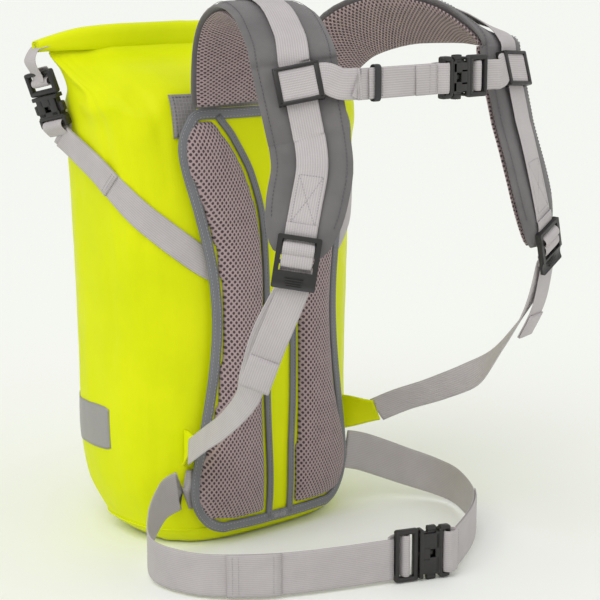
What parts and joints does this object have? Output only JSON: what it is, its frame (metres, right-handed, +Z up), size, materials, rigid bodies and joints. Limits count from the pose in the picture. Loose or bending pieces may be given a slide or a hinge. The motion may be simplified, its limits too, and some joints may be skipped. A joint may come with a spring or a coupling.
{
  "type": "roll-top backpack",
  "caption": "Waterproof roll-top backpack with a padded mesh back panel, shoulder harness, sternum strap, hip belt and side compression straps.",
  "frame": {"origin": "on the ground under the middle of the bag body, at the base mount", "axes": "+Z up; +Y away from the wearer; the padded back panel and harness face -Y; +X is the right side seen from behind the panel"},
  "size_m": [0.3608, 0.4092, 0.5091],
  "materials": {
    "coated_yellow_fabric": "satin waterproof coating on woven fabric",
    "air_mesh": "open diamond spacer mesh over foam",
    "grey_binding": "woven tape, stitched",
    "strap_fabric": "matt woven fabric",
    "ladder_webbing": "webbing with a raised grid",
    "grey_webbing": "ribbed polyester webbing",
    "black_acetal": "moulded, lightly textured",
    "elastic": "knitted elastic",
    "reflective_film": "retroreflective film on fabric",
    "stiffener_sheet": "extruded polyethylene sheet"
  },
  "bodies": {
    "bag": {"bag_shell": "coated_yellow_fabric", "frame_board": "stiffener_sheet", "left_adjusting_webbing": "grey_webbing", "left_anchor_tab": "coated_yellow_fabric", "left_pad": "air_mesh", "left_pad_piping": "grey_binding", "left_panel_binding": "grey_binding", "left_roll_loop": "grey_webbing", "left_side_buckle_female": "black_acetal", "left_side_buckle_male": "black_acetal", "left_side_webbing": "grey_webbing", "left_side_webbing_tail": "grey_webbing", "panel_backing": "coated_yellow_fabric", "reflective_patch": "reflective_film", "right_adjusting_webbing": "grey_webbing", "right_anchor_tab": "coated_yellow_fabric", "right_pad": "air_mesh", "right_pad_piping": "grey_binding", "right_panel_binding": "grey_binding", "right_roll_loop": "grey_webbing", "right_side_buckle_female": "black_acetal", "right_side_buckle_male": "black_acetal", "right_side_webbing": "grey_webbing", "right_side_webbing_tail": "grey_webbing", "roll_stiffener": "stiffener_sheet", "roll_top": "coated_yellow_fabric", "top_band": "ladder_webbing"},
    "harness": {"left_shoulder_strap": "strap_fabric", "left_strap_lining": "air_mesh", "left_strap_webbing": "grey_webbing", "right_shoulder_strap": "strap_fabric", "right_strap_lining": "air_mesh", "right_strap_webbing": "grey_webbing"},
    "sternum_strap": {"left_slider": "black_acetal", "left_sternum_webbing": "grey_webbing", "right_slider": "black_acetal", "right_sternum_webbing": "grey_webbing", "sternum_buckle_female": "black_acetal", "sternum_buckle_male": "black_acetal", "sternum_keeper": "elastic", "sternum_webbing_tail": "grey_webbing"},
    "hip_belt": {"hip_buckle_female": "black_acetal", "hip_buckle_male": "black_acetal", "left_hip_webbing": "grey_webbing", "left_hip_webbing_fold": "grey_webbing", "right_hip_webbing": "grey_webbing", "right_hip_webbing_fold": "grey_webbing"},
    "left_lock": {"left_ladder_lock": "black_acetal", "left_adjusting_tail": "grey_webbing"},
    "right_lock": {"right_ladder_lock": "black_acetal", "right_adjusting_tail": "grey_webbing"},
    "hip_prong_1": {"hip_buckle_prong_1": "black_acetal"},
    "hip_prong_2": {"hip_buckle_prong_2": "black_acetal"},
    "left_side_prong_1": {"left_side_buckle_prong_1": "black_acetal"},
    "left_side_prong_2": {"left_side_buckle_prong_2": "black_acetal"},
    "right_side_prong_1": {"right_side_buckle_prong_1": "black_acetal"},
    "right_side_prong_2": {"right_side_buckle_prong_2": "black_acetal"},
    "sternum_prong_1": {"sternum_buckle_prong_1": "black_acetal"},
    "sternum_prong_2": {"sternum_buckle_prong_2": "black_acetal"}
  },
  "joints": [
    {"name": "harness_swing", "type": "hinge", "parent": "bag", "child": "harness", "pos_m": [0, -0.093, 0.41], "axis": [1, 0, 0], "range_deg": [-8, 12], "deforming": ["left_adjusting_webbing", "right_adjusting_webbing"]},
    {"name": "sternum_height", "type": "slide", "parent": "harness", "child": "sternum_strap", "axis": [0, 0.2998, 0.954], "range_m": [-0.018, 0]},
    {"name": "belt_lift", "type": "hinge", "parent": "bag", "child": "hip_belt", "pos_m": [0, -0.08039, 0.056], "axis": [1, 0, 0], "range_deg": [-10, 0]},
    {"name": "left_lock_tilt", "type": "hinge", "parent": "harness", "child": "left_lock", "pos_m": [-0.14139, -0.29936, 0.32454], "axis": [-0.7435, 0.652, 0.1488], "range_deg": [0, 10]},
    {"name": "right_lock_tilt", "type": "hinge", "parent": "harness", "child": "right_lock", "pos_m": [0.14448, -0.29766, 0.30209], "axis": [-0.9028, -0.2145, -0.3727], "range_deg": [0, 10]},
    {"name": "hip_squeeze_1", "type": "hinge", "parent": "hip_belt", "child": "hip_prong_1", "pos_m": [0.014, -0.275, 0.0415], "axis": [0.327, 0.945, 0], "range_deg": [0, 11], "stiffness_Nm_per_rad": 0.02},
    {"name": "hip_squeeze_2", "type": "hinge", "parent": "hip_belt", "child": "hip_prong_2", "pos_m": [0.014, -0.275, 0.0055], "axis": [-0.327, -0.945, 0], "range_deg": [0, 11], "stiffness_Nm_per_rad": 0.02},
    {"name": "left_side_squeeze_1", "type": "hinge", "parent": "bag", "child": "left_side_prong_1", "pos_m": [-0.15824, 0.023, 0.41547], "axis": [0.9453, 0.2428, 0.2178], "range_deg": [0, 11], "stiffness_Nm_per_rad": 0.02},
    {"name": "left_side_squeeze_2", "type": "hinge", "parent": "bag", "child": "left_side_prong_2", "pos_m": [-0.16276, 0.045, 0.41053], "axis": [-0.9453, -0.2428, -0.2178], "range_deg": [0, 11], "stiffness_Nm_per_rad": 0.02},
    {"name": "right_side_squeeze_1", "type": "hinge", "parent": "bag", "child": "right_side_prong_1", "pos_m": [0.16276, 0.045, 0.41053], "axis": [-0.9453, 0.2428, 0.2178], "range_deg": [0, 11], "stiffness_Nm_per_rad": 0.02},
    {"name": "right_side_squeeze_2", "type": "hinge", "parent": "bag", "child": "right_side_prong_2", "pos_m": [0.15824, 0.023, 0.41547], "axis": [0.9453, -0.2428, -0.2178], "range_deg": [0, 11], "stiffness_Nm_per_rad": 0.02},
    {"name": "sternum_squeeze_1", "type": "hinge", "parent": "sternum_strap", "child": "sternum_prong_1", "pos_m": [0.038, -0.29878, 0.42862], "axis": [0, 1, 0], "range_deg": [0, 11], "stiffness_Nm_per_rad": 0.02},
    {"name": "sternum_squeeze_2", "type": "hinge", "parent": "sternum_strap", "child": "sternum_prong_2", "pos_m": [0.038, -0.29878, 0.45162], "axis": [0, -1, 0], "range_deg": [0, 11], "stiffness_Nm_per_rad": 0.02}
  ],
  "couplings": [
    {"joint": "hip_squeeze_2", "follows": "hip_squeeze_1", "ratio": 1},
    {"joint": "left_side_squeeze_2", "follows": "left_side_squeeze_1", "ratio": 1},
    {"joint": "right_side_squeeze_2", "follows": "right_side_squeeze_1", "ratio": 1},
    {"joint": "sternum_squeeze_2", "follows": "sternum_squeeze_1", "ratio": 1}
  ]
}
